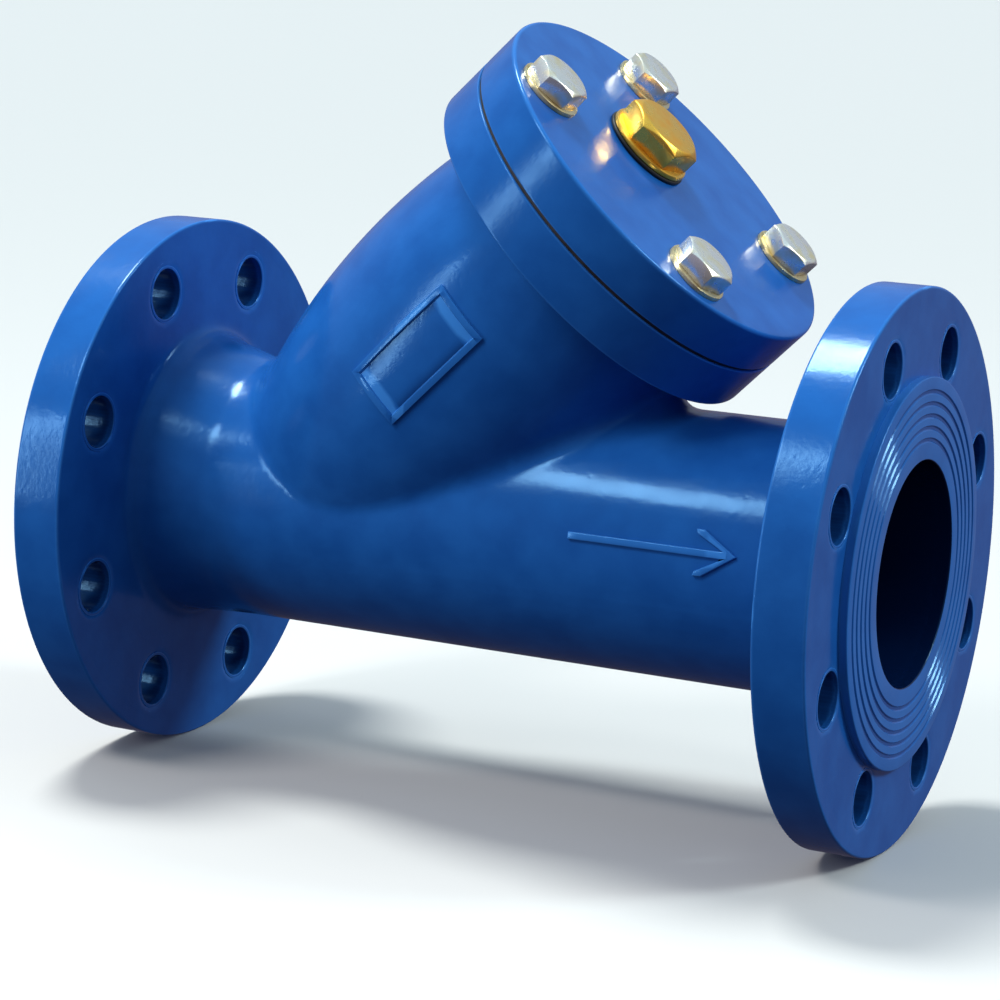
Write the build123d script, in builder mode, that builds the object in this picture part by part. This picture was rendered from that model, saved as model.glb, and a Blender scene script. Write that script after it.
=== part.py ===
from build123d import *
import math
import os

# Flanged Y-pattern strainer. Millimetres. The origin is the centre of the inlet flange's raised
# face, X runs along the pipe towards the outlet and Z points up, on the side of the branch.

# Straight run and its two end flanges
face_to_face = 310.0
bore_radius = 40.0
inlet_bore_length = 34.0
outlet_bore_length = 110.0
passage_radius = 41.0
run_wall = 8.5
flange_radius = 100.0
flange_thickness = 22.0
raised_face_radius = 69.0
raised_face_height = 3.0
flange_hole_inset = 20.0
flange_hole_radius = 9.5
flange_hole_count = 8

# Inlet neck, which tapers to the run from a wider circle set higher at its flange
neck_swell = 5.0
neck_lift = 3.5
neck_length = 29.0

# Branch
branch_angle = 45.0
branch_x = 78.7
branch_length = 165.0
branch_flange_radius = 73.5
branch_flange_thickness = 18.0
mouth_radius = 46.0
mouth_depth = 27.0

# The barrel round the screen: its bulge is one arc from its foot inside the run to its flange
barrel_crown_radius = 61.0
barrel_crown_height = 95.0
barrel_bulge_radius = 260.0
barrel_foot_height = -23.0

# The chamber inside it: radius at its floor and lower part, then its full width between two levels
chamber_floor_radius = 40.5
chamber_radius = 51.0
chamber_low = 65.0
chamber_high = 112.0

# Web between inlet and outlet, with the seat for the screen
web_thickness = 8.0
seat_bore_radius = 33.5
seat_depth = 4.0
seat_clearance = 0.3

# Cast edges
crotch_fillet = 7.0
rim_chamfer = 1.5

# Cover and its gasket
cover_thickness = 17.0
gasket_thickness = 2.0
gasket_inset = 1.0
register_depth = 4.0
register_clearance = 0.4

# Screen
screen_radius = 36.0
screen_sheet = 1.5
screen_hole_across = 8.0
screen_holes_round = 10
screen_hole_pitch = 19.0
screen_rows = 7
liner_thickness = 0.6
liner_clearance = 0.1
ring_radius = 38.0
ring_thickness = 3.0
spigot_height = 6.0
spigot_wall = 2.0
spigot_clearance = 0.3
screen_end_clearance = 0.2

# Cover bolts, M12, and washers
bolt_inset = 15.5
bolt_count = 4
bolt_radius = 6.0
bolt_length = 35.0
bolt_head_height = 7.0
bolt_across_flats = 19.0
thread_clearance = 0.05
bolt_hole_radius = 6.75
tapped_depth = 16.5
washer_radius = 12.0
washer_hole_radius = 6.5
washer_thickness = 1.6

# Drain plug, three-quarter inch pipe thread
plug_offset = 13.0
plug_thread_radius = 13.2
plug_thread_length = 15.0
plug_collar_radius = 16.5
plug_collar_thickness = 2.0
plug_across_flats = 27.0
plug_head_height = 8.5
plug_seal_radius = 17.0
plug_seal_thickness = 1.5

# Sizes that follow from these
run_radius = bore_radius + run_wall
neck_start = flange_thickness
neck_end = neck_start + neck_length
slope = math.radians(branch_angle)
branch_foot = (branch_x, 0, 0)
branch_direction = (math.cos(slope), 0, math.sin(slope))
across = (math.sin(slope), 0, -math.cos(slope))
branch_plane = Plane(origin=branch_foot, x_dir=across, z_dir=branch_direction)
branch_profile_plane = Plane(origin=branch_foot, x_dir=across, z_dir=(0, -1, 0))
branch_axis = Axis(branch_foot, branch_direction)
barrel_top = branch_length - branch_flange_thickness + 1.0
seat_floor = web_thickness - seat_depth
cover_bottom = branch_length + gasket_thickness
cover_top = cover_bottom + cover_thickness
register_bottom = branch_length - register_depth
screen_top = branch_length - screen_end_clearance
tube_bottom = seat_floor + ring_thickness
tube_top = screen_top - ring_thickness
tube_inner_radius = screen_radius - screen_sheet
liner_outer_radius = tube_inner_radius - liner_clearance
liner_inner_radius = liner_outer_radius - liner_thickness
spigot_outer_radius = liner_inner_radius - spigot_clearance
spigot_inner_radius = spigot_outer_radius - spigot_wall
flange_hole_spread = flange_radius - flange_hole_inset
bolt_spread = branch_flange_radius - bolt_inset
first_flange_hole = 180.0 / flange_hole_count
first_bolt_angle = 180.0 / bolt_count


def branch_level(height, shift=0.0):
    """Plane square to the branch, at a height along it and shifted towards the outlet."""
    origin = branch_plane.from_local_coords((shift, 0, height))
    return Plane(origin=origin, x_dir=across, z_dir=branch_direction)


def barrel_radius_at(height):
    """Radius of the bulge's arc at a height along the branch."""
    rise = math.sqrt(barrel_bulge_radius**2 - (height - barrel_crown_height) ** 2)
    return barrel_crown_radius - barrel_bulge_radius + rise


# Outside of the casting: end flanges, neck, run, barrel and branch flange
with BuildPart() as inlet_neck:
    with BuildSketch(Plane(origin=(neck_start, 0, neck_lift), x_dir=(0, 1, 0), z_dir=(1, 0, 0))):
        Circle(run_radius + neck_swell)
    with BuildSketch(Plane(origin=(neck_end, 0, 0), x_dir=(0, 1, 0), z_dir=(1, 0, 0))):
        Circle(run_radius)
    loft(ruled=True)

with BuildPart() as run_pipe:
    with BuildSketch(Plane.YZ.offset(neck_end)):
        Circle(run_radius)
    extrude(amount=face_to_face - flange_thickness - neck_end)

with BuildPart() as end_flange:
    with BuildSketch(Plane.YZ):
        Circle(raised_face_radius)
    extrude(amount=raised_face_height)
    with BuildSketch(Plane.YZ.offset(raised_face_height)):
        Circle(flange_radius)
        with PolarLocations(flange_hole_spread, flange_hole_count, first_flange_hole):
            Circle(flange_hole_radius, mode=Mode.SUBTRACT)
    extrude(amount=flange_thickness - raised_face_height)
    rims = end_flange.edges().filter_by(GeomType.CIRCLE).group_by(SortBy.RADIUS)[-1]
    chamfer(rims, rim_chamfer)

with BuildPart() as branch_flange:
    with BuildSketch(branch_level(branch_length - branch_flange_thickness)):
        Circle(branch_flange_radius)
    extrude(amount=branch_flange_thickness)
    rims = branch_flange.edges().filter_by(GeomType.CIRCLE)
    chamfer(rims, rim_chamfer)

with BuildPart() as barrel:
    with BuildSketch(branch_profile_plane):
        with BuildLine():
            bulge = ThreePointArc(
                (barrel_radius_at(barrel_foot_height), barrel_foot_height),
                (barrel_crown_radius, barrel_crown_height),
                (barrel_radius_at(barrel_top), barrel_top),
            )
            Polyline(bulge @ 1, (0, barrel_top), (0, barrel_foot_height), bulge @ 0)
        make_face()
    revolve(axis=branch_axis)

with BuildPart() as chamber:
    with BuildSketch(branch_profile_plane):
        with BuildLine():
            Polyline(
                (0, web_thickness),
                (chamber_floor_radius, web_thickness),
                (chamber_radius, chamber_low),
                (chamber_radius, chamber_high),
                (mouth_radius, branch_length - mouth_depth),
                (mouth_radius, branch_length),
                (0, branch_length),
                close=True,
            )
        make_face()
    revolve(axis=branch_axis)

# Bores at both ends, and the slightly wider cored passages from them to either side of the web
with BuildPart() as inlet_way:
    with BuildSketch(Plane.YZ.offset(inlet_bore_length)):
        Circle(passage_radius)
    extrude(amount=face_to_face / 2)
    split(bisect_by=branch_level(0.0), keep=Keep.BOTTOM)
    with BuildSketch(Plane.YZ):
        Circle(bore_radius)
    extrude(amount=inlet_bore_length)

with BuildPart() as outlet_way:
    with BuildSketch(Plane.YZ.offset(face_to_face - outlet_bore_length)):
        Circle(passage_radius)
    extrude(amount=-face_to_face / 2)
    split(bisect_by=branch_level(web_thickness), keep=Keep.TOP)
    with BuildSketch(Plane.YZ.offset(face_to_face)):
        Circle(bore_radius)
    extrude(amount=-outlet_bore_length)

with BuildPart() as body:
    add(inlet_neck.part)
    add(run_pipe.part)
    add(barrel.part)
    fillet(body.edges(Select.NEW), crotch_fillet)
    add(end_flange.part)
    add(mirror(end_flange.part, about=Plane.YZ.offset(face_to_face / 2), mode=Mode.PRIVATE))
    add(branch_flange.part)
    add(chamber.part, mode=Mode.SUBTRACT)
    add(inlet_way.part, mode=Mode.SUBTRACT)
    add(outlet_way.part, mode=Mode.SUBTRACT)
    with BuildSketch(branch_level(-seat_depth)):
        Circle(seat_bore_radius)
    extrude(amount=web_thickness + seat_depth, mode=Mode.SUBTRACT)
    with BuildSketch(branch_level(seat_floor)):
        Circle(ring_radius + seat_clearance)
    extrude(amount=seat_depth, mode=Mode.SUBTRACT)
    with BuildSketch(branch_level(branch_length - tapped_depth)):
        with PolarLocations(bolt_spread, bolt_count, first_bolt_angle):
            Circle(bolt_radius + thread_clearance)
    extrude(amount=tapped_depth, mode=Mode.SUBTRACT)

# Cover, with a register that enters the mouth and a recess for the screen's top ring
with BuildPart() as cover:
    with BuildSketch(branch_level(cover_bottom)):
        Circle(branch_flange_radius)
    extrude(amount=cover_thickness)
    chamfer(cover.edges().filter_by(GeomType.CIRCLE), rim_chamfer)
    with BuildSketch(branch_level(register_bottom)):
        Circle(mouth_radius - register_clearance)
    extrude(amount=cover_bottom - register_bottom)
    with BuildSketch(branch_level(register_bottom)):
        Circle(ring_radius + seat_clearance)
    extrude(amount=register_depth, mode=Mode.SUBTRACT)
    with BuildSketch(branch_level(cover_bottom)):
        with PolarLocations(bolt_spread, bolt_count, first_bolt_angle):
            Circle(bolt_hole_radius)
    extrude(amount=cover_thickness, mode=Mode.SUBTRACT)
    with BuildSketch(branch_level(register_bottom, -plug_offset)):
        Circle(plug_thread_radius + thread_clearance)
    extrude(amount=cover_top - register_bottom, mode=Mode.SUBTRACT)

# Flat full-face gasket in the cover joint
with BuildPart() as cover_gasket:
    with BuildSketch(branch_level(branch_length)):
        Circle(branch_flange_radius - gasket_inset)
        Circle(mouth_radius + register_clearance, mode=Mode.SUBTRACT)
        with PolarLocations(bolt_spread, bolt_count, first_bolt_angle):
            Circle(bolt_hole_radius, mode=Mode.SUBTRACT)
    extrude(amount=gasket_thickness)

# Screen: perforated tube in staggered rows, with a fine mesh liner and a ring at each end
tube_length = tube_top - tube_bottom
rows_height = (screen_rows - 1) * screen_hole_pitch
first_row = tube_bottom + (tube_length - rows_height) / 2
with BuildPart() as screen_tube:
    with BuildSketch(branch_level(tube_bottom)):
        Circle(screen_radius)
        Circle(tube_inner_radius, mode=Mode.SUBTRACT)
    extrude(amount=tube_length)
    for row in range(screen_rows):
        stagger = 180.0 / screen_holes_round * (row % 2)
        row_height = first_row + row * screen_hole_pitch
        for number in range(screen_holes_round):
            turn = math.radians(number * 360.0 / screen_holes_round + stagger)
            outward = branch_plane.from_local_coords((math.cos(turn), math.sin(turn), 0))
            facing = outward - branch_plane.origin
            start = branch_plane.from_local_coords((0, 0, row_height))
            with BuildSketch(Plane(origin=start, x_dir=branch_direction, z_dir=facing)):
                Rectangle(screen_hole_across, screen_hole_across, rotation=45)
        extrude(amount=screen_radius + screen_sheet, mode=Mode.SUBTRACT)

with BuildPart() as screen_mesh:
    with BuildSketch(branch_level(tube_bottom)):
        Circle(liner_outer_radius)
        Circle(liner_inner_radius, mode=Mode.SUBTRACT)
    extrude(amount=tube_length)

with BuildPart() as screen_seat_ring:
    with BuildSketch(branch_level(seat_floor)):
        Circle(ring_radius)
        Circle(spigot_inner_radius, mode=Mode.SUBTRACT)
    extrude(amount=ring_thickness)
    with BuildSketch(branch_level(tube_bottom)):
        Circle(spigot_outer_radius)
        Circle(spigot_inner_radius, mode=Mode.SUBTRACT)
    extrude(amount=spigot_height)

with BuildPart() as screen_top_ring:
    with BuildSketch(branch_level(tube_top)):
        Circle(ring_radius)
        Circle(spigot_inner_radius, mode=Mode.SUBTRACT)
    extrude(amount=ring_thickness)
    with BuildSketch(branch_level(tube_top)):
        Circle(spigot_outer_radius)
        Circle(spigot_inner_radius, mode=Mode.SUBTRACT)
    extrude(amount=-spigot_height)

# Drain plug and its seal, off the cover's centre towards the upper side
with BuildPart() as drain_plug_seal:
    with BuildSketch(branch_level(cover_top, -plug_offset)):
        Circle(plug_seal_radius)
        Circle(plug_thread_radius + seat_clearance, mode=Mode.SUBTRACT)
    extrude(amount=plug_seal_thickness)

plug_seat = cover_top + plug_seal_thickness
with BuildPart() as drain_plug:
    with BuildSketch(branch_level(plug_seat, -plug_offset)):
        Circle(plug_thread_radius)
    extrude(amount=-plug_thread_length)
    with BuildSketch(branch_level(plug_seat, -plug_offset)):
        Circle(plug_collar_radius)
    extrude(amount=plug_collar_thickness)
    with BuildSketch(branch_level(plug_seat + plug_collar_thickness, -plug_offset)):
        RegularPolygon(plug_across_flats / 2, 6, major_radius=False)
    extrude(amount=plug_head_height)

pieces = {
    "body": body,
    "cover": cover,
    "cover_gasket": cover_gasket,
    "screen_tube": screen_tube,
    "screen_mesh": screen_mesh,
    "screen_seat_ring": screen_seat_ring,
    "screen_top_ring": screen_top_ring,
    "drain_plug": drain_plug,
    "drain_plug_seal": drain_plug_seal,
}

# Bolts and washers, one of each in every cover hole
bolt_seat = cover_top + washer_thickness
for number in range(bolt_count):
    turn = math.radians(first_bolt_angle + number * 360.0 / bolt_count)
    east = bolt_spread * math.cos(turn)
    north = bolt_spread * math.sin(turn)
    with BuildPart() as washer:
        with BuildSketch(branch_level(cover_top)):
            with Locations((east, north)):
                Circle(washer_radius)
                Circle(washer_hole_radius, mode=Mode.SUBTRACT)
        extrude(amount=washer_thickness)
    with BuildPart() as bolt:
        with BuildSketch(branch_level(bolt_seat)):
            with Locations((east, north)):
                Circle(bolt_radius)
        extrude(amount=-bolt_length)
        with BuildSketch(branch_level(bolt_seat)):
            with Locations((east, north)):
                RegularPolygon(bolt_across_flats / 2, 6, major_radius=False)
        extrude(amount=bolt_head_height)
    pieces[f"bolt_washer_{number + 1}"] = washer
    pieces[f"cover_bolt_{number + 1}"] = bolt

os.makedirs("parts", exist_ok=True)
for name, piece in pieces.items():
    piece.part.label = name
    export_step(piece.part, f"parts/{name}.step")
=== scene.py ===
import math

import bmesh
import bpy
from mathutils import Matrix, Vector


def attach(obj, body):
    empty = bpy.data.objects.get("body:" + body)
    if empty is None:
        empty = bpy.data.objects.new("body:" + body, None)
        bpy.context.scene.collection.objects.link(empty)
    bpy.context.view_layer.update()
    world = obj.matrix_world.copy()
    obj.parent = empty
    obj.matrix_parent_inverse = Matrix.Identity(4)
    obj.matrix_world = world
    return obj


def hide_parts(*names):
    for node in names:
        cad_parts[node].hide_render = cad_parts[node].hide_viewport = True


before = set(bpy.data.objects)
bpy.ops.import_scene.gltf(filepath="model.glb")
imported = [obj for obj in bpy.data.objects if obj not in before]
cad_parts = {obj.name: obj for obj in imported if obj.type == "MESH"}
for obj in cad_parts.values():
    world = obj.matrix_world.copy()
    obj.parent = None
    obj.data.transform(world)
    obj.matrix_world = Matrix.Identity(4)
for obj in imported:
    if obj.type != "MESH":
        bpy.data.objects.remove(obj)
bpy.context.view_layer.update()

mm = 0.001

# Sizes that several pieces share; the cover's top is measured along the branch
faceToFace = 310 * mm
faceHeight = 3 * mm
flangeDepth = 22 * mm
coverTop = 184 * mm
proud = 0.01 * mm  # how far a turned ring stands out of the cast skin
restGap = 0.03 * mm  # between flat faces that turn on each other

# The branch: local x is across it towards the outlet, local z is up its axis
branch = {"foot": (0.0787, 0, 0), "slope": math.radians(45)}
sine = math.sin(branch["slope"])
cosine = math.cos(branch["slope"])
branchPlace = Matrix.Translation(branch["foot"]) @ Matrix((
    (sine, 0, cosine, 0), (0, 1, 0, 0), (-cosine, 0, sine, 0), (0, 0, 0, 1)))
alongPipe = Matrix.Rotation(math.radians(90), 4, "Y")  # local z runs along the pipe


# Small helpers

def asObject(bm, name, material, place=None):
    if place is not None:
        bmesh.ops.transform(bm, matrix=place, verts=bm.verts)
    mesh = bpy.data.meshes.new(name)
    bm.to_mesh(mesh)
    bm.free()
    mesh.materials.append(material)
    obj = bpy.data.objects.new(name, mesh)
    bpy.context.scene.collection.objects.link(obj)
    return obj


def applyModifiers(obj):
    graph = bpy.context.evaluated_depsgraph_get()
    mesh = bpy.data.meshes.new_from_object(obj.evaluated_get(graph))
    obj.modifiers.clear()
    obj.data = mesh


def softenEdges(obj, width, segments, angle):
    bevel = obj.modifiers.new("softEdge", "BEVEL")
    bevel.width = width
    bevel.segments = segments
    bevel.limit_method = "ANGLE"
    bevel.angle_limit = math.radians(angle)
    applyModifiers(obj)


def shadeRound(obj, angle=180):
    bm = bmesh.new()
    bm.from_mesh(obj.data)
    bm.normal_update()
    for face in bm.faces:
        face.smooth = True
    for edge in bm.edges:
        edge.smooth = len(edge.link_faces) != 2 or edge.calc_face_angle(0) < math.radians(angle)
    bm.to_mesh(obj.data)
    bm.free()
    return obj


def spun(points, steps):  # a profile of (radius, height) turned round local z
    bm = bmesh.new()
    verts = [bm.verts.new((radius, 0, height)) for radius, height in points]
    edges = [bm.edges.new(pair) for pair in zip(verts, verts[1:])]
    if points[0][0] > 0:
        edges.append(bm.edges.new((verts[-1], verts[0])))
    bmesh.ops.spin(bm, geom=verts + edges, axis=(0, 0, 1), cent=(0, 0, 0), dvec=(0, 0, 0),
                   angle=2 * math.pi, steps=steps, use_merge=True, use_duplicate=False)
    bmesh.ops.remove_doubles(bm, verts=bm.verts, dist=0.0001 * mm)
    bmesh.ops.recalc_face_normals(bm, faces=bm.faces)
    return bm


def quarterTurn(count):  # angles from 0 to 90 degrees
    return [math.pi / 2 * step / count for step in range(count + 1)]


def onlyVerts(geometry):
    return [item for item in geometry if isinstance(item, bmesh.types.BMVert)]


def keepInside(obj, bm):  # keeps what lies inside a helper shape, which is then removed
    helper = asObject(bm, "helper", obj.data.materials[0])
    cut = obj.modifiers.new("cut", "BOOLEAN")
    cut.operation = "INTERSECT"
    cut.solver = "EXACT"
    cut.object = helper
    applyModifiers(obj)
    bpy.data.objects.remove(helper)


def joinInto(first, second):
    bm = bmesh.new()
    bm.from_mesh(first.data)
    bm.from_mesh(second.data)
    bm.to_mesh(first.data)
    bm.free()
    bpy.data.objects.remove(second)


def place(obj, body, slot, *nodes):
    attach(obj, body)
    if nodes:
        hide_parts(*nodes)


# Shader helpers and the groups that the finishes share

def addNode(tree, kind, values=None, **settings):
    node = tree.nodes.new(kind)
    for key, value in settings.items():
        setattr(node, key, value)
    for key, value in (values or {}).items():
        node.inputs[key].default_value = value
    return node


def join(tree, source, target, output=0, entry=0):
    tree.links.new(source.outputs[output], target.inputs[entry])


def newGroup(name, entries, exits):
    group = bpy.data.node_groups.new(name, "ShaderNodeTree")
    for title, kind, value in entries:
        socket = group.interface.new_socket(title, in_out="INPUT", socket_type=kind)
        socket.default_value = value
    for title, kind in exits:
        group.interface.new_socket(title, in_out="OUTPUT", socket_type=kind)
    return group, group.nodes.new("NodeGroupInput"), group.nodes.new("NodeGroupOutput")


def buildCastSkin():  # orange peel of thick enamel over a sand casting
    group, start, end = newGroup("castSkin", [
        ("Peel Scale", "NodeSocketFloat", 300.0), ("Wave Scale", "NodeSocketFloat", 40.0),
        ("Peel Amount", "NodeSocketFloat", 0.3), ("Pit Amount", "NodeSocketFloat", 0.3)],
        [("Height", "NodeSocketFloat"), ("Mottle", "NodeSocketFloat")])
    where = addNode(group, "ShaderNodeTexCoord")
    peel = addNode(group, "ShaderNodeTexNoise", {"Detail": 3.0, "Roughness": 0.55})
    wave = addNode(group, "ShaderNodeTexNoise", {"Detail": 4.0, "Roughness": 0.5})
    pits = addNode(group, "ShaderNodeTexVoronoi", {"Scale": 160.0}, feature="F1")
    pitEdge = addNode(group, "ShaderNodeMapRange", {
        "From Min": 0.0, "From Max": 0.16, "To Min": -1.0, "To Max": 0.0})
    for node in (peel, wave, pits):
        join(group, where, node, "Object", "Vector")
    join(group, start, peel, "Peel Scale", "Scale")
    join(group, start, wave, "Wave Scale", "Scale")
    join(group, pits, pitEdge, "Distance", "Value")
    peelPart = addNode(group, "ShaderNodeMath", operation="MULTIPLY")
    join(group, peel, peelPart, 0, 0)
    join(group, start, peelPart, "Peel Amount", 1)
    pitPart = addNode(group, "ShaderNodeMath", operation="MULTIPLY")
    join(group, pitEdge, pitPart, 0, 0)
    join(group, start, pitPart, "Pit Amount", 1)
    both = addNode(group, "ShaderNodeMath", operation="ADD")
    join(group, peelPart, both, 0, 0)
    join(group, pitPart, both, 0, 1)
    total = addNode(group, "ShaderNodeMath", operation="ADD")
    join(group, both, total, 0, 0)
    join(group, wave, total, 0, 1)
    join(group, total, end, 0, "Height")
    join(group, wave, end, 0, "Mottle")
    return group


def buildEdgeMask():  # 1 on outer edges and 1 in inner corners, from the surface's own curvature
    group, start, end = newGroup("edgeMask", [("Spread", "NodeSocketFloat", 0.06)],
                                 [("Outer", "NodeSocketFloat"), ("Inner", "NodeSocketFloat")])
    flat, slack = 0.5, 0.005  # the pointiness of a flat surface, and what still counts as flat
    shape = addNode(group, "ShaderNodeNewGeometry")
    high = addNode(group, "ShaderNodeMath", {0: flat}, operation="ADD")
    low = addNode(group, "ShaderNodeMath", {0: flat}, operation="SUBTRACT")
    join(group, start, high, 0, 1)
    join(group, start, low, 0, 1)
    outer = addNode(group, "ShaderNodeMapRange", {"From Min": flat + slack, "To Min": 0.0, "To Max": 1.0})
    inner = addNode(group, "ShaderNodeMapRange", {"From Max": flat - slack, "To Min": 1.0, "To Max": 0.0})
    join(group, shape, outer, "Pointiness", "Value")
    join(group, high, outer, 0, "From Max")
    join(group, shape, inner, "Pointiness", "Value")
    join(group, low, inner, 0, "From Min")
    join(group, outer, end, 0, "Outer")
    join(group, inner, end, 0, "Inner")
    return group


def buildHollowShadeMask():  # 1 inside the pipe's passage and the flange holes, where the enamel is darkened as painted shade
    group, start, end = newGroup("hollowShadeMask", [
        ("Passage", "NodeSocketFloat", 0.0405), ("Hole", "NodeSocketFloat", 0.0096),
        ("Circle", "NodeSocketFloat", 0.08)], [("Inside", "NodeSocketFloat")])
    where = addNode(group, "ShaderNodeTexCoord")
    parts = addNode(group, "ShaderNodeSeparateXYZ")
    join(group, where, parts, "Object", 0)
    across = addNode(group, "ShaderNodeVectorMath", {1: (0.0, 1.0, 1.0)}, operation="MULTIPLY")
    join(group, where, across, "Object", 0)
    radius = addNode(group, "ShaderNodeVectorMath", operation="LENGTH")
    join(group, across, radius)
    # the way round from the nearest of the eight holes, and the distance from its axis
    halfPitch = math.pi / 8
    angle = addNode(group, "ShaderNodeMath", operation="ARCTAN2")
    join(group, parts, angle, "Z", 0)
    join(group, parts, angle, "Y", 1)
    folded = addNode(group, "ShaderNodeMath", {1: halfPitch}, operation="PINGPONG")
    join(group, angle, folded)
    turn = addNode(group, "ShaderNodeMath", {0: halfPitch}, operation="SUBTRACT")
    join(group, folded, turn, 0, 1)
    distance = []
    for operation in ("COSINE", "SINE"):
        wave = addNode(group, "ShaderNodeMath", operation=operation)
        join(group, turn, wave)
        reach = addNode(group, "ShaderNodeMath", operation="MULTIPLY")
        join(group, wave, reach, 0, 0)
        join(group, radius, reach, "Value", 1)
        distance.append(reach)
    out = addNode(group, "ShaderNodeMath", operation="SUBTRACT")
    join(group, distance[0], out, 0, 0)
    join(group, start, out, "Circle", 1)
    flat = addNode(group, "ShaderNodeCombineXYZ")
    join(group, out, flat, 0, "X")
    join(group, distance[1], flat, 0, "Y")
    away = addNode(group, "ShaderNodeVectorMath", operation="LENGTH")
    join(group, flat, away)
    masks = []
    for source, limit in ((radius, "Passage"), (away, "Hole")):
        depth = addNode(group, "ShaderNodeMath", operation="SUBTRACT")
        join(group, start, depth, limit, 0)
        join(group, source, depth, "Value", 1)
        inside = addNode(group, "ShaderNodeMapRange", {
            "From Min": 0.0, "From Max": 0.3 * mm, "To Min": 0.0, "To Max": 1.0})
        join(group, depth, inside, 0, "Value")
        masks.append(inside)
    # the holes only count inside the two end flanges
    middle = addNode(group, "ShaderNodeMath", {1: faceToFace / 2}, operation="SUBTRACT")
    join(group, parts, middle, "X")
    offset = addNode(group, "ShaderNodeMath", operation="ABSOLUTE")
    join(group, middle, offset)
    flange = addNode(group, "ShaderNodeMath", {1: faceToFace / 2 - flangeDepth - 0.2 * mm},
                     operation="GREATER_THAN")
    join(group, offset, flange)
    hole = addNode(group, "ShaderNodeMath", operation="MULTIPLY")
    join(group, masks[1], hole, 0, 0)
    join(group, flange, hole, 0, 1)
    both = addNode(group, "ShaderNodeMath", operation="MAXIMUM")
    join(group, masks[0], both, 0, 0)
    join(group, hole, both, 0, 1)
    join(group, both, end, 0, "Inside")
    return group


def buildToolMarks():  # very fine noise that can be stretched round or along a piece, and broad patches
    group, start, end = newGroup("toolMarks", [
        ("Stretch", "NodeSocketVector", (1.0, 1.0, 1.0)), ("Scale", "NodeSocketFloat", 900.0)],
        [("Height", "NodeSocketFloat"), ("Patch", "NodeSocketFloat")])
    where = addNode(group, "ShaderNodeTexCoord")
    stretch = addNode(group, "ShaderNodeVectorMath", operation="MULTIPLY")
    join(group, where, stretch, "Object", 0)
    join(group, start, stretch, "Stretch", 1)
    lines = addNode(group, "ShaderNodeTexNoise", {"Detail": 2.0})
    patch = addNode(group, "ShaderNodeTexNoise", {"Scale": 180.0, "Detail": 3.0})
    join(group, stretch, lines, 0, "Vector")
    join(group, start, lines, "Scale", "Scale")
    join(group, where, patch, "Object", "Vector")
    join(group, lines, end, 0, "Height")
    join(group, patch, end, 0, "Patch")
    return group


castSkin = buildCastSkin()
edgeMask = buildEdgeMask()
hollowShadeMask = buildHollowShadeMask()
toolMarks = buildToolMarks()


def newMaterial(name, metallic=0.0, specular=0.5, tint=(1.0, 1.0, 1.0)):
    material = bpy.data.materials.new(name)
    material.use_nodes = True
    tree = material.node_tree
    shader = tree.nodes["Principled BSDF"]
    shader.inputs["Metallic"].default_value = metallic
    shader.inputs["Specular IOR Level"].default_value = specular
    shader.inputs["Specular Tint"].default_value = (*tint, 1)
    return material, tree, shader


def useGroup(tree, group, **values):
    node = tree.nodes.new("ShaderNodeGroup")
    node.node_tree = group
    for key, value in values.items():
        node.inputs[key.replace("_", " ")].default_value = value
    return node


def mixColours(tree, factorSocket, first, second):  # first and second are colours or sockets
    mix = addNode(tree, "ShaderNodeMix", data_type="RGBA")
    for title, value in (("A", first), ("B", second)):
        entry = next(socket for socket in mix.inputs if socket.name == title and socket.type == "RGBA")
        if isinstance(value, tuple):
            entry.default_value = (*value, 1)
        else:
            tree.links.new(value, entry)
    factor = next(socket for socket in mix.inputs if socket.name == "Factor" and socket.type == "VALUE")
    tree.links.new(factorSocket, factor)
    return next(socket for socket in mix.outputs if socket.type == "RGBA")


def spread(tree, socket, low=0.0, high=1.0, toLow=0.0, toHigh=1.0):
    node = addNode(tree, "ShaderNodeMapRange", {
        "From Min": low, "From Max": high, "To Min": toLow, "To Max": toHigh})
    tree.links.new(socket, node.inputs["Value"])
    return node.outputs["Result"]


def bumpInto(tree, shader, socket, strength, distance):
    bump = addNode(tree, "ShaderNodeBump", {"Strength": strength, "Distance": distance})
    tree.links.new(socket, bump.inputs["Height"])
    tree.links.new(bump.outputs["Normal"], shader.inputs["Normal"])


# Blue enamel: two close blues in clouds; edge is a painted highlight on outer edges, corner is painted
# shade in inner corners and core is painted shade in holes and passages
enamelValues = {
    "deep": (0.009, 0.088, 0.340), "bright": (0.013, 0.112, 0.400), "edge": (0.06, 0.30, 0.80),
    "corner": (0.001, 0.010, 0.07), "core": (0.001, 0.010, 0.05), "specular": 0.35,
    "tint": (0.25, 0.62, 1.0), "rough": (0.22, 0.12), "peelScale": 420.0, "waveScale": 60.0,
    "peelAmount": 0.4, "pitAmount": 0.2, "edgeSpread": 0.07, "highlightShare": 0.6, "cornerShadeShare": 0.7,
    "mottle": (0.35, 0.65), "bump": (0.16, 0.7 * mm)}


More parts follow.
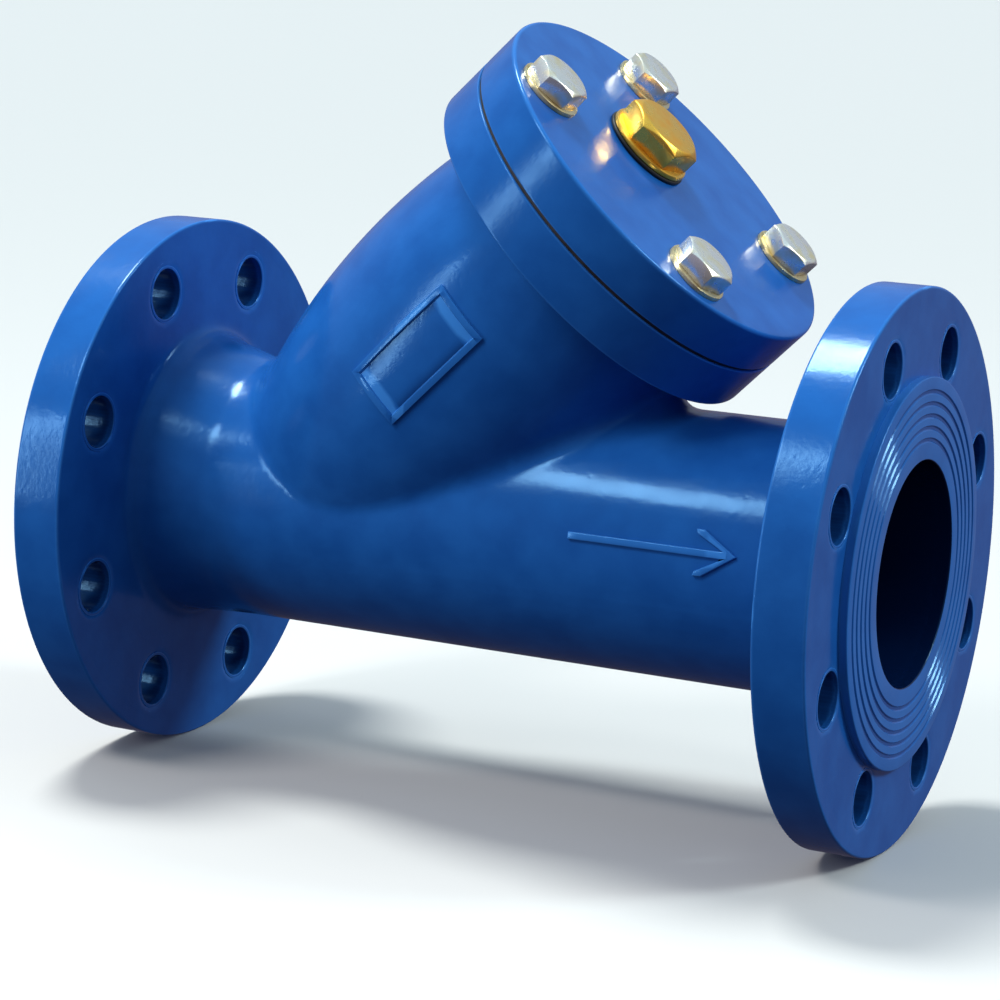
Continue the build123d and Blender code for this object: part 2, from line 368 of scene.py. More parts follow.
def makeEnamel():
    v = enamelValues
    material, tree, shader = newMaterial("blueEnamel", specular=v["specular"], tint=v["tint"])
    skin = useGroup(tree, castSkin, Peel_Scale=v["peelScale"], Wave_Scale=v["waveScale"],
                    Peel_Amount=v["peelAmount"], Pit_Amount=v["pitAmount"])
    edges = useGroup(tree, edgeMask, Spread=v["edgeSpread"])
    core = useGroup(tree, hollowShadeMask)
    base = mixColours(tree, spread(tree, skin.outputs["Mottle"], *v["mottle"]), v["deep"], v["bright"])
    # painted highlight: the lighter edge colour on outer edges
    highlightPart = spread(tree, edges.outputs["Outer"], toHigh=v["highlightShare"])
    base = mixColours(tree, highlightPart, base, v["edge"])
    # painted shade: the darker corner colour in inner corners
    cornerShadePart = spread(tree, edges.outputs["Inner"], toHigh=v["cornerShadeShare"])
    base = mixColours(tree, cornerShadePart, base, v["corner"])
    # painted shade: the core colour darkens the passage and the flange holes
    base = mixColours(tree, core.outputs["Inside"], base, v["core"])
    tree.links.new(base, shader.inputs["Base Color"])
    tree.links.new(spread(tree, skin.outputs["Mottle"], 0.3, 0.7, *v["rough"]), shader.inputs["Roughness"])
    bumpInto(tree, shader, skin.outputs["Height"], *v["bump"])
    return material


# Metals: a light and a deep tone that follow a pattern of the tool marks, and a darker tone in inner
# corners as painted shade
evenMarks = (1.0, 1.0, 1.0)
turnedMarks = (1.0, 0.08, 1.0)
metalValues = {
    "zincPlate": {
        "light": (0.92, 0.90, 0.84), "deep": (0.80, 0.68, 0.40), "cornerShadeTone": (0.50, 0.44, 0.28),
        "metallic": 0.8, "marks": evenMarks, "scale": 700.0, "pattern": "Patch", "limits": (0.42, 0.72),
        "edgeSpread": 0.12, "cornerShadeAmount": 0.8, "rough": (0.2, 0.36), "bump": (0.12, 0.2 * mm)},
    "goldenZinc": {
        "light": (0.80, 0.68, 0.40), "deep": (0.62, 0.44, 0.16), "cornerShadeTone": (0.50, 0.44, 0.28),
        "metallic": 0.8, "marks": evenMarks, "scale": 700.0, "pattern": "Patch", "limits": (0.42, 0.72),
        "edgeSpread": 0.12, "cornerShadeAmount": 0.8, "rough": (0.2, 0.36), "bump": (0.12, 0.2 * mm)},
    "turnedBrass": {
        "light": (0.95, 0.56, 0.08), "deep": (0.88, 0.40, 0.03), "cornerShadeTone": (0.30, 0.13, 0.02),
        "metallic": 0.8, "marks": evenMarks, "scale": 500.0, "pattern": "Patch", "limits": (0.35, 0.7),
        "edgeSpread": 0.12, "cornerShadeAmount": 0.7, "rough": (0.24, 0.38), "bump": (0.15, 0.2 * mm)},
    "stainlessSheet": {
        "light": (0.66, 0.65, 0.63), "deep": (0.42, 0.42, 0.42), "cornerShadeTone": (0.42, 0.42, 0.42),
        "metallic": 1.0, "marks": turnedMarks, "scale": 900.0, "pattern": "Height", "limits": (0.3, 0.7),
        "edgeSpread": 0.1, "cornerShadeAmount": 0.6, "rough": (0.22, 0.36), "bump": (0.12, 0.2 * mm)},
    "turnedSteel": {
        "light": (0.66, 0.65, 0.63), "deep": (0.42, 0.42, 0.42), "cornerShadeTone": (0.42, 0.42, 0.42),
        "metallic": 1.0, "marks": turnedMarks, "scale": 1500.0, "pattern": "Height", "limits": (0.3, 0.7),
        "edgeSpread": 0.1, "cornerShadeAmount": 0.6, "rough": (0.22, 0.36), "bump": (0.25, 0.2 * mm)}}


def makeMetal(name):
    v = metalValues[name]
    material, tree, shader = newMaterial(name, metallic=v["metallic"])
    marks = useGroup(tree, toolMarks, Stretch=v["marks"], Scale=v["scale"])
    edges = useGroup(tree, edgeMask, Spread=v["edgeSpread"])
    tone = spread(tree, marks.outputs[v["pattern"]], *v["limits"])
    base = mixColours(tree, tone, v["light"], v["deep"])
    # painted shade: the darker corner tone in inner corners
    corner = spread(tree, edges.outputs["Inner"], toHigh=v["cornerShadeAmount"])
    base = mixColours(tree, corner, base, v["cornerShadeTone"])
    tree.links.new(base, shader.inputs["Base Color"])
    tree.links.new(spread(tree, marks.outputs["Patch"], 0.3, 0.7, *v["rough"]), shader.inputs["Roughness"])
    bumpInto(tree, shader, marks.outputs["Height"], *v["bump"])
    return material


# Rubber and gasket sheet: two dark tones in patches, nearly matt
rubberValues = {
    "blackRubber": {"dark": (0.006, 0.006, 0.007), "light": (0.018, 0.018, 0.02), "rough": (0.45, 0.57),
                    "specular": 0.35, "scale": 1400.0, "bump": (0.3, 0.1 * mm)},
    "gasketSheet": {"dark": (0.012, 0.012, 0.014), "light": (0.035, 0.035, 0.04), "rough": (0.6, 0.72),
                    "specular": 0.35, "scale": 1400.0, "bump": (0.3, 0.1 * mm)}}


def makeRubber(name):
    v = rubberValues[name]
    material, tree, shader = newMaterial(name, specular=v["specular"])
    marks = useGroup(tree, toolMarks, Scale=v["scale"])
    base = mixColours(tree, spread(tree, marks.outputs["Patch"], 0.3, 0.7), v["dark"], v["light"])
    tree.links.new(base, shader.inputs["Base Color"])
    tree.links.new(spread(tree, marks.outputs["Patch"], 0.3, 0.7, *v["rough"]), shader.inputs["Roughness"])
    bumpInto(tree, shader, marks.outputs["Height"], *v["bump"])
    return material


blueEnamel = makeEnamel()
zincPlate = makeMetal("zincPlate")
goldenZinc = makeMetal("goldenZinc")
turnedBrass = makeMetal("turnedBrass")
blackRubber = makeRubber("blackRubber")
gasketSheet = makeRubber("gasketSheet")
stainlessSheet = makeMetal("stainlessSheet")
turnedSteel = makeMetal("turnedSteel")
print("finishes ready")


# Camera, set where the photograph was taken from
camera = {"spot": (0.63463, -1.02046, 0.20598), "turn": (79.998, -2.757, 25.926), "lens": 112.12,
          "sensor": 36.0, "reach": 100.0}
cameraData = bpy.data.cameras.new("photoCamera")
cameraData.lens = camera["lens"]
cameraData.sensor_width = camera["sensor"]
cameraData.clip_end = camera["reach"]
cameraObject = bpy.data.objects.new("photoCamera", cameraData)
cameraObject.location = camera["spot"]
cameraObject.rotation_euler = [math.radians(angle) for angle in camera["turn"]]
bpy.context.scene.collection.objects.link(cameraObject)
bpy.context.scene.camera = cameraObject

# Soft lamps, placed to the camera's right, upright above, and back towards it from the object's middle
lamps = {
    "keyBox": {"at": (-0.85, 0.95, 0.55), "size": (0.45, 0.3), "power": 9.0, "colour": (1.0, 0.99, 0.97)},
    "sideBox": {"at": (-1.25, 0.15, 0.55), "size": (0.16, 0.7), "power": 4.5, "colour": (0.92, 0.96, 1.0)},
    "rightBox": {"at": (1.2, 0.75, 0.5), "size": (0.25, 0.5), "power": 3.0, "colour": (1.0, 1.0, 1.0)}}
cameraTurn = cameraObject.rotation_euler.to_matrix()
cameraRight = cameraTurn @ Vector((1, 0, 0))
cameraBack = cameraTurn @ Vector((0, 0, 1))
lampAim = Vector((faceToFace / 2, 0, 30 * mm))
for name, lamp in lamps.items():
    lampData = bpy.data.lights.new(name, "AREA")
    lampData.shape = "RECTANGLE"
    lampData.size, lampData.size_y = lamp["size"]
    lampData.energy = lamp["power"]
    lampData.color = lamp["colour"]
    lampObject = bpy.data.objects.new(name, lampData)
    right, up, back = lamp["at"]
    spot = lampAim + cameraRight * right + Vector((0, 0, up)) + cameraBack * back
    lampObject.location = spot
    lampObject.rotation_euler = (lampAim - spot).to_track_quat("-Z", "Y").to_euler()
    bpy.context.scene.collection.objects.link(lampObject)

suns = {
    "overhead": {"turn": (-9, -21, 0), "power": 2.9, "softness": 16.0, "colour": (0.92, 1.0, 0.98)},
    "rightSun": {"turn": (-20.5, 53.2, 0), "power": 1.6, "softness": 14.0, "colour": (0.78, 0.96, 1.0)}}
for name, sun in suns.items():
    sunData = bpy.data.lights.new(name, "SUN")
    sunData.energy = sun["power"]
    sunData.angle = math.radians(sun["softness"])
    sunData.color = sun["colour"]
    sunObject = bpy.data.objects.new(name, sunData)
    sunObject.rotation_euler = [math.radians(angle) for angle in sun["turn"]]
    bpy.context.scene.collection.objects.link(sunObject)

# Soft fill from above that fades downwards, so undersides stay dark; the camera sees a plain backdrop.
# The fill's strength goes from low to high and its colour from side to top, both with the height
surround = {"side": (0.78, 0.70, 1.0), "top": (0.62, 0.84, 1.0), "topFrom": 0.6,
            "low": {"height": -0.45, "strength": 0.08}, "high": {"height": 1.0, "strength": 0.72},
            "backdrop": (0.80, 0.86, 0.88)}
world = bpy.data.worlds.new("studio")
world.use_nodes = True
studio = world.node_tree
facing = addNode(studio, "ShaderNodeTexCoord")
facingParts = addNode(studio, "ShaderNodeSeparateXYZ")
join(studio, facing, facingParts, "Generated", 0)
skyHeight = facingParts.outputs["Z"]
low, high = surround["low"], surround["high"]
strength = spread(studio, skyHeight, low["height"], high["height"], low["strength"], high["strength"])
topShare = spread(studio, skyHeight, 0.0, surround["topFrom"])
tone = mixColours(studio, topShare, surround["side"], surround["top"])
fill = mixColours(studio, strength, (0.0, 0.0, 0.0), tone)
seen = addNode(studio, "ShaderNodeLightPath")
shown = mixColours(studio, seen.outputs["Is Camera Ray"], fill, surround["backdrop"])
studio.links.new(shown, studio.nodes["Background"].inputs["Color"])
bpy.context.scene.world = world
bpy.context.scene.view_settings.view_transform = "Standard"

floorValues = {"half": 40.0, "height": -100.2 * mm, "tone": (0.61, 0.58, 0.56), "specular": 0.2,
               "rough": 0.6}
floorShape = bmesh.new()
bmesh.ops.create_grid(floorShape, x_segments=4, y_segments=4, size=floorValues["half"])
floorFinish, _, floorShader = newMaterial("paleFloor", specular=floorValues["specular"])
floorShader.inputs["Base Color"].default_value = (*floorValues["tone"], 1)
floorShader.inputs["Roughness"].default_value = floorValues["rough"]
floorPlace = Matrix.Translation((faceToFace / 2, 0, floorValues["height"]))
floor = asObject(floorShape, "floor", floorFinish, floorPlace)
floor.visible_glossy = False
floor.visible_diffuse = False
print("camera, lamps and floor ready")


# The two enamelled castings: the CAD shape gets one continuous cast skin, rounded where the flanges
# meet it, and crisp turned rims

turnedSteps = {"root": 160, "rim": 240, "face": 200, "hole": 48}
casting = {"voxel": 1.4 * mm, "softening": 4, "triangles": 165000, "quickVoxel": 2.4 * mm}
coverCasting = {"voxel": 0.9 * mm, "softening": 4, "triangles": 150000, "quickVoxel": 1.6 * mm}

# concave rings where a round wall meets a flange; way is 1 where the wall goes on to higher levels
neckPlace = Matrix.Translation((0, 0, 3.3 * mm)) @ alongPipe
rootRings = {
    "neck": {"wall": 53 * mm, "level": flangeDepth, "way": 1, "size": 4.5 * mm, "place": neckPlace},
    "run": {"wall": 48.5 * mm, "level": faceToFace - flangeDepth, "way": -1, "size": 5 * mm,
            "place": alongPipe},
    "branch": {"wall": 56.2 * mm, "level": 147 * mm, "way": -1, "size": 4 * mm, "place": branchPlace}}


def rootRing(name):
    v = rootRings[name]
    wall, level, way, size = v["wall"], v["level"], v["way"], v["size"]
    inside, behind = wall - 3 * mm, level - way * 2 * mm  # these sides lie inside the metal
    points = [(inside, behind), (wall + size, behind)]
    points += [(wall + size - size * math.sin(t), level + way * (size - size * math.cos(t)))
               for t in quarterTurn(8)]
    points.append((inside, level + way * size))
    return asObject(spun(points, turnedSteps["root"]), name, blueEnamel, v["place"])


def castFrom(node, name, values, roots=(), ends=None):
    bm = bmesh.new()
    bm.from_mesh(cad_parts[node].data)
    bmesh.ops.remove_doubles(bm, verts=bm.verts, dist=0.002 * mm)
    if ends is not None:  # the raised faces beyond these ends are turned rings of their own
        for vert in bm.verts:
            vert.co.x = min(max(vert.co.x, ends[0]), ends[1])
    obj = asObject(bm, name, blueEnamel)
    for root in roots:
        joinInto(obj, rootRing(root))
    skin = obj.modifiers.new("castSkin", "REMESH")
    skin.mode = "VOXEL"
    skin.voxel_size = values["voxel"]
    soften = obj.modifiers.new("soften", "SMOOTH")
    soften.factor = 0.5
    soften.iterations = values["softening"]
    applyModifiers(obj)
    triangles = sum(len(face.vertices) - 2 for face in obj.data.polygons)
    if triangles > values["triangles"]:
        thin = obj.modifiers.new("thin", "DECIMATE")
        thin.ratio = values["triangles"] / triangles
        applyModifiers(obj)
    shadeRound(obj)
    print(name, triangles, "->", len(obj.data.polygons))
    return obj


# levels of each rim, and its inner radius and edge rounding, each at the low and the high level;
# an inner radius near the outer one leaves a thin lip beside the gasket
rims = {
    "inletRim": {"outer": 100 * mm, "low": faceHeight, "high": flangeDepth,
                 "inner": (92 * mm, 92 * mm), "rounds": (0.9 * mm, 0.9 * mm)},
    "outletRim": {"outer": 100 * mm, "low": faceToFace - flangeDepth, "high": faceToFace - faceHeight,
                  "inner": (92 * mm, 92 * mm), "rounds": (0.9 * mm, 0.9 * mm)},
    "branchRim": {"outer": 73.5 * mm, "low": 147 * mm, "high": 165.35 * mm,
                  "inner": (68 * mm, 72.65 * mm), "rounds": (0.8 * mm, 0.4 * mm)},
    "coverRim": {"outer": 73.5 * mm, "low": 166.65 * mm, "high": coverTop,
                 "inner": (72.65 * mm, 66 * mm), "rounds": (0.4 * mm, 1.2 * mm)}}


def rimRing(name, place):
    v = rims[name]
    r, low, high = v["outer"] + proud, v["low"] - proud, v["high"] + proud
    (lowInner, highInner), (a, b) = v["inner"], v["rounds"]
    # points beside each rounding keep the painted edge highlight off the flat bands
    near, far = 0.4 * mm, 0.9 * mm
    # a broad ring's flat sides dip under the cast skin towards the inside, so no step shows
    dip = ((0, 1.0 * mm), (0, 0.05 * mm), (0.3 * mm, 0.045 * mm), (3 * mm, 0))
    broad, lip = r - 3 * mm, 2 * mm
    if lowInner < broad:
        points = [(lowInner + out, low + down) for out, down in dip]
        points += [(r - a - far, low), (r - a - near, low)]
    else:
        points = [(lowInner, low + lip), (lowInner, low)]
    points += [(r - a + a * math.sin(t), low + a - a * math.cos(t)) for t in quarterTurn(5)]
    points += [(r, low + a + near), (r, high - b - near)]
    points += [(r - b + b * math.cos(t), high - b + b * math.sin(t)) for t in quarterTurn(5)]
    if highInner < broad:
        points += [(r - b - near, high), (r - b - far, high)]
        points += [(highInner + out, high - down) for out, down in reversed(dip)]
    else:
        points += [(highInner, high), (highInner, high - lip)]
    return shadeRound(asObject(spun(points, turnedSteps["rim"]), name, blueEnamel, place), 40)


raisedFace = {"bore": 40 * mm, "outer": 69 * mm, "height": faceHeight, "depth": 12 * mm, "round": 0.5 * mm,
              "firstGroove": 47 * mm, "pitch": 4.2 * mm, "grooves": 5, "grooveDepth": 0.45 * mm,
              "grooveHalf": 0.9 * mm, "grooveFloor": 0.45, "sunk": 1.5 * mm}


def raisedFaceRing(place):  # turned face with its grooves, at local height 0, with the flange above it
    v = raisedFace
    bore, outer, e = v["bore"] - proud, v["outer"] + proud, v["round"]
    near = e + 1 * mm  # keeps the painted edge highlight off the bore
    points = [(bore + v["sunk"], v["depth"]), (bore, v["depth"] - 1 * mm), (bore, near)]
    points += [(bore + e - e * math.cos(t), e - proud - e * math.sin(t)) for t in quarterTurn(4)]
    for number in range(v["grooves"]):
        radius = v["firstGroove"] + number * v["pitch"]
        for side, height in ((-1, -proud), (-v["grooveFloor"], v["grooveDepth"]),
                             (v["grooveFloor"], v["grooveDepth"]), (1, -proud)):
            points.append((radius + side * v["grooveHalf"], height))
    points += [(outer - e + e * math.sin(t), e - proud - e * math.cos(t)) for t in quarterTurn(4)]
    points += [(outer, v["height"] + 0.5 * mm), (outer - 1 * mm, v["height"] + v["sunk"])]
    ring = spun(points, turnedSteps["face"])
    return shadeRound(asObject(ring, "raisedFace", blueEnamel, place), 25)


flangeHoles = {"circle": 80 * mm, "count": 8, "radius": 9.5 * mm, "low": faceHeight, "high": flangeDepth,
               "wall": 1.2 * mm, "round": 0.45 * mm}


def holeLiner(place):  # one flange hole's wall and its two crisp edges
    v = flangeHoles
    r, low, high, e = v["radius"] - proud, v["low"] - proud, v["high"] + proud, v["round"]
    wall, lap = r + v["wall"], 0.2 * mm
    sunk, dip = 0.04 * mm, 0.035 * mm  # the outer side lies just under the cast skin
    near = r + e + 0.15 * mm
    points = [(wall - lap, high - dip), (wall, high - sunk), (wall, low + sunk), (wall - lap, low + dip)]
    points.append((near, low))
    points += [(r + e - e * math.sin(t), low + e - e * math.cos(t)) for t in quarterTurn(4)]
    points += [(r + e - e * math.cos(t), high - e + e * math.sin(t)) for t in quarterTurn(4)]
    points.append((near, high))
    return shadeRound(asObject(spun(points, turnedSteps["hole"]), "hole", blueEnamel, place), 40)


def makeTurnedEdges():  # rims, raised faces and hole edges of the body, in one piece
    v = flangeHoles
    fromOutlet = Matrix.Translation((faceToFace, 0, 0)) @ Matrix.Rotation(math.pi, 4, "Z") @ alongPipe
    obj = rimRing("inletRim", alongPipe)
    joinInto(obj, rimRing("outletRim", alongPipe))
    joinInto(obj, rimRing("branchRim", branchPlace))
    for side in (alongPipe, fromOutlet):
        joinInto(obj, raisedFaceRing(side))
        for hole in range(v["count"]):
            turn = Matrix.Rotation(2 * math.pi * (hole + 0.5) / v["count"], 4, "Z")
            joinInto(obj, holeLiner(side @ turn @ Matrix.Translation((v["circle"], 0, 0))))
    obj.name = "turnedEdges"
    return obj


bodyCasting = castFrom("body", "bodyCasting", casting, rootRings, (faceHeight, faceToFace - faceHeight))
place(makeTurnedEdges(), "body", "enamel")
coverPlate = castFrom("cover", "coverPlate", coverCasting)
joinInto(coverPlate, rimRing("coverRim", branchPlace))
place(bodyCasting, "body", "enamel", "body")
place(coverPlate, "cover", "enamel", "cover")
print("castings ready")


# Raised forms on the casting

barrel = {"crown": 61 * mm, "crownHeight": 95 * mm, "bulge": 260 * mm}


def barrelRadius(height):
    rise = math.sqrt(barrel["bulge"] ** 2 - (height - barrel["crownHeight"]) ** 2)
    return barrel["crown"] - barrel["bulge"] + rise


padValues = {"width": 24 * mm, "length": 48 * mm, "middle": 91.5 * mm, "turn": -1.2, "wrap": 60 * mm,
             "sunk": 1.2 * mm, "rise": 1.1 * mm, "frame": 2.2 * mm, "slope": 0.5 * mm, "recess": 0.8 * mm,
             "soft": 0.45 * mm}


def makePad():  # a bare framed pad, bent round the barrel
    v = padValues
    bm = bmesh.new()
    bmesh.ops.create_grid(bm, x_segments=10, y_segments=20, size=0.5)
    bmesh.ops.scale(bm, vec=(v["width"], v["length"], 1), verts=bm.verts)
    grown = bmesh.ops.extrude_face_region(bm, geom=bm.faces[:])
    lid = [item for item in grown["geom"] if isinstance(item, bmesh.types.BMFace)]
    bmesh.ops.translate(bm, vec=(0, 0, v["sunk"] + v["rise"]), verts=onlyVerts(grown["geom"]))
    bmesh.ops.inset_region(bm, faces=lid, thickness=v["frame"], use_even_offset=True)
    bmesh.ops.inset_region(bm, faces=lid, thickness=v["slope"], use_even_offset=True)
    lidVerts = list({vert for face in lid for vert in face.verts})
    bmesh.ops.translate(bm, vec=(0, 0, -v["recess"]), verts=lidVerts)
    for vert in bm.verts:
        height = v["middle"] + vert.co.y
        radius = barrelRadius(height) - v["sunk"] + vert.co.z
        angle = math.radians(v["turn"]) + vert.co.x / v["wrap"]
        vert.co = (radius * math.sin(angle), -radius * math.cos(angle), height)
    bmesh.ops.recalc_face_normals(bm, faces=bm.faces)
    obj = asObject(bm, "castPad", blueEnamel, branchPlace)
    softenEdges(obj, v["soft"], 3, 25)
    return shadeRound(obj, 50)


place(makePad(), "body", "enamel")

arrowValues = {"start": 199 * mm, "end": 262 * mm, "half": 1.3 * mm, "headLength": 15 * mm,
               "headHalf": 8 * mm, "stroke": 3.2 * mm, "rise": 1.2 * mm, "sunk": 1 * mm, "turn": -8.5,
               "radius": 48.5 * mm, "cuts": 16, "soft": 0.4 * mm}


def makeArrow():  # generic flow arrow with an open head, bent round the run
    v = arrowValues
    bm = bmesh.new()
    start, tip, half, wide, stroke = v["start"], v["end"], v["half"], v["headHalf"], v["stroke"]
    back = tip - v["headLength"]
    barb, barbEnd, neck = back - stroke * 0.2, back + stroke * 0.8, tip - stroke * 1.6
    below = [(start, -half), (neck, -half), (back, -wide + stroke * 0.5), (barb, -wide), (barbEnd, -wide)]
    outline = below + [(tip, 0)] + [(x, -y) for x, y in reversed(below)]
    face = bm.faces.new([bm.verts.new((x, y, 0)) for x, y in outline])
    grown = bmesh.ops.extrude_face_region(bm, geom=[face])
    bmesh.ops.translate(bm, vec=(0, 0, v["sunk"] + v["rise"]), verts=onlyVerts(grown["geom"]))
    for cut in range(1, v["cuts"]):
        x = start + (tip - start) * cut / v["cuts"]
        bmesh.ops.bisect_plane(bm, geom=bm.verts[:] + bm.edges[:] + bm.faces[:], plane_co=(x, 0, 0),
                               plane_no=(1, 0, 0))
    for vert in bm.verts:
        radius = v["radius"] - v["sunk"] + vert.co.z
        angle = math.radians(v["turn"]) - vert.co.y / v["radius"]
        vert.co = (vert.co.x, -radius * math.cos(angle), -radius * math.sin(angle))
    bmesh.ops.recalc_face_normals(bm, faces=bm.faces)
    obj = asObject(bm, "castArrow", blueEnamel)
    softenEdges(obj, v["soft"], 2, 30)
    return shadeRound(obj, 50)


place(makeArrow(), "body", "enamel")
print("raised forms ready")


# Hexagon bolts with chamfered heads and threaded shanks, on plain washers

washerValues = {"outer": 12 * mm, "inner": 6.5 * mm, "thick": 1.6 * mm, "round": 0.35 * mm,
                "burr": 0.15 * mm, "steps": 64}
boltValues = {"circle": 58 * mm, "seat": coverTop + washerValues["thick"] + restGap, "across": 19 * mm,
              "head": 7 * mm, "crown": 0.95, "steep": 1.0, "soft": 0.22 * mm, "length": 35 * mm,
              "radius": 6 * mm, "pitch": 1.75 * mm, "depth": 0.95 * mm, "plain": 3 * mm, "steps": 36,
              "turns": {1: 56, 2: 55, 3: 57, 4: 37},
              "sides": {1: (1, 1), 2: (-1, 1), 3: (-1, -1), 4: (1, -1)}}


chamfer = {"angle": math.radians(30), "reach": 1.02, "steps": 72}


def hexHead(v, base, material, name):  # hexagon with a chamfer that leaves a round crown
    corner = v["across"] / math.sqrt(3)
    bm = bmesh.new()
    bmesh.ops.create_cone(bm, cap_ends=True, cap_tris=False, segments=6, radius1=corner, radius2=corner,
                          depth=v["head"])
    bmesh.ops.translate(bm, vec=(0, 0, base + v["head"] / 2), verts=bm.verts)
    obj = asObject(bm, name, material)
    flat, reach = v["across"] / 2 * v["crown"], corner * chamfer["reach"]
    under, top = base - 1 * mm, base + v["head"]
    drop = (reach - flat) * math.tan(chamfer["angle"]) * v["steep"]
    dome = spun([(0, under), (reach, under), (reach, top - drop), (flat, top), (0, top)], chamfer["steps"])
    keepInside(obj, dome)
    softenEdges(obj, v["soft"], 2, 28)
    return shadeRound(obj, 26)


# the thread's form in shares of its depth (foot and rise) and of its pitch; the tip is a share of the core
threadForm = {"foot": 0.15, "rise": 0.94, "footHalf": 0.42, "crestHalf": 0.07, "tip": 0.86,
              "tipLength": 0.5, "start": 0.9, "stop": 0.5, "runOut": 0.4}


def threadedShank(v, material):  # local z is 0 under the head, and the shank starts just inside it
    form = threadForm
    steps, pitch, depth = v["steps"], v["pitch"], v["depth"]
    radius, end, top = v["radius"], -v["length"], 0.5 * mm
    root = radius - depth
    first, last = end + form["start"] * pitch, -v["plain"] - form["stop"] * pitch
    core = spun([(0, end), (root * form["tip"], end), (root, end + form["tipLength"] * pitch), (root, last),
                 (radius, last + form["runOut"] * pitch), (radius, top), (0, top)], steps)
    obj = asObject(core, "shank", material)
    # a right-hand ridge wound round the core
    bm = bmesh.new()
    rise = form["rise"] * depth
    foot, crest = root - form["foot"] * depth, root + rise
    profile = [bm.verts.new((out, 0, first + shift * pitch)) for out, shift in (
        (foot, -form["footHalf"]), (crest, -form["crestHalf"]),
        (crest, form["crestHalf"]), (foot, form["footHalf"]))]
    edges = [bm.edges.new((profile[corner - 1], profile[corner])) for corner in range(4)]
    count = int(steps * (last - first) / pitch)
    bmesh.ops.spin(bm, geom=profile + edges, axis=(0, 0, 1), cent=(0, 0, 0), dvec=(0, 0, pitch / steps),
                   angle=2 * math.pi * count / steps, steps=count, use_merge=False, use_duplicate=False)
    bmesh.ops.holes_fill(bm, edges=[edge for edge in bm.edges if edge.is_boundary], sides=4)
    for vert in bm.verts:  # its crest grows out of the core and sinks into it over half a turn
        if vert.co.xy.length > root:
            part = math.atan2(vert.co.y, vert.co.x) / (2 * math.pi)
            turns = part + round((vert.co.z - first) / pitch - part)
            share = min(1.0, 2 * turns, 2 * (count / steps - turns))
            vert.co.xy *= (root + rise * share) / crest
    bmesh.ops.recalc_face_normals(bm, faces=bm.faces)
    joinInto(obj, asObject(bm, "ridge", material))
    return shadeRound(obj, 40)


def boltAxis(number):
    east, north = boltValues["sides"][number]
    out = boltValues["circle"] / math.sqrt(2)
    return branchPlace @ Matrix.Translation((east * out, north * out, 0))


def makeBolt(number):
    v = boltValues
    obj = hexHead(v, 0, zincPlate, "hexBolt" + str(number))
    joinInto(obj, threadedShank(v, zincPlate))
    turn = Matrix.Rotation(math.radians(v["turns"][number]), 4, "Z")
    obj.data.transform(boltAxis(number) @ Matrix.Translation((0, 0, v["seat"])) @ turn)
    return obj


def makeWasher(number):
    v = washerValues
    r, inner, t, c, burr = v["outer"], v["inner"], v["thick"], v["round"], v["burr"]
    bm = spun([(inner, 0), (inner, t - burr), (inner + burr, t), (r - c, t), (r - 0.3 * c, t - 0.3 * c),
               (r, t - c), (r, burr), (r - burr, 0)], v["steps"])
    spot = boltAxis(number) @ Matrix.Translation((0, 0, coverTop))
    return shadeRound(asObject(bm, "plainWasher" + str(number), goldenZinc, spot), 30)


for number in boltValues["sides"]:
    place(makeBolt(number), "bolt_" + str(number), "zinc", "cover_bolt_" + str(number))
    place(makeWasher(number), "washer_" + str(number), "zinc", "bolt_washer_" + str(number))
print("bolts and washers ready")


# Brass drain plug and its seal

sealValues = {"inner": 13.5 * mm, "outer": 17 * mm, "thick": 1.5 * mm, "round": 0.2 * mm,
              "shoulder": 0.5 * mm, "steps": 96}
plugValues = {"shift": -13 * mm, "seat": coverTop + sealValues["thick"] + restGap, "collar": 16.5 * mm,
              "collarHeight": 2 * mm, "across": 27 * mm, "head": 8.5 * mm, "crown": 0.93, "steep": 1.2,
              "soft": 0.3 * mm, "radius": 13.2 * mm, "length": 15 * mm, "pitch": 1.814 * mm,
              "depth": 1.1 * mm, "plain": 0, "steps": 64, "collarSteps": 96, "turn": 50}


def makePlug():
    v = plugValues
    c, h = v["collar"], v["collarHeight"]
    collar = spun([(0, 0), (c - 0.4 * mm, 0), (c, 0.4 * mm), (c, h - 0.7 * mm),
                   (c - 0.25 * mm, h - 0.2 * mm), (c - 0.9 * mm, h), (0, h + 0.1 * mm)],
                  v["collarSteps"])
    obj = hexHead(v, h, turnedBrass, "drainPlug")
    joinInto(obj, shadeRound(asObject(collar, "collar", turnedBrass), 35))
    joinInto(obj, threadedShank(v, turnedBrass))
    turn = Matrix.Rotation(math.radians(v["turn"]), 4, "Z")
    obj.data.transform(branchPlace @ Matrix.Translation((v["shift"], 0, v["seat"])) @ turn)
    return obj


def makePlugSeal():  # flat ring whose outside bulges a little
    v = sealValues
    inner, r, t, e = v["inner"], v["outer"], v["thick"], v["round"]
    bm = spun([(inner, e), (inner, t - e), (inner + 0.3 * mm, t), (r - v["shoulder"], t),
               (r - 0.15 * mm, t - e), (r, 0.95 * mm), (r, 0.5 * mm), (r - e, 0.15 * mm),
               (r - 0.6 * mm, 0), (inner + e, 0)], v["steps"])
    spot = branchPlace @ Matrix.Translation((plugValues["shift"], 0, coverTop))
    return shadeRound(asObject(bm, "plugSeal", blackRubber, spot), 45)


place(makePlug(), "plug", "brass", "drain_plug")
place(makePlugSeal(), "plug_seal", "seal", "drain_plug_seal")
print("drain plug ready")


# Screen: a finely perforated cylinder with a woven wire liner

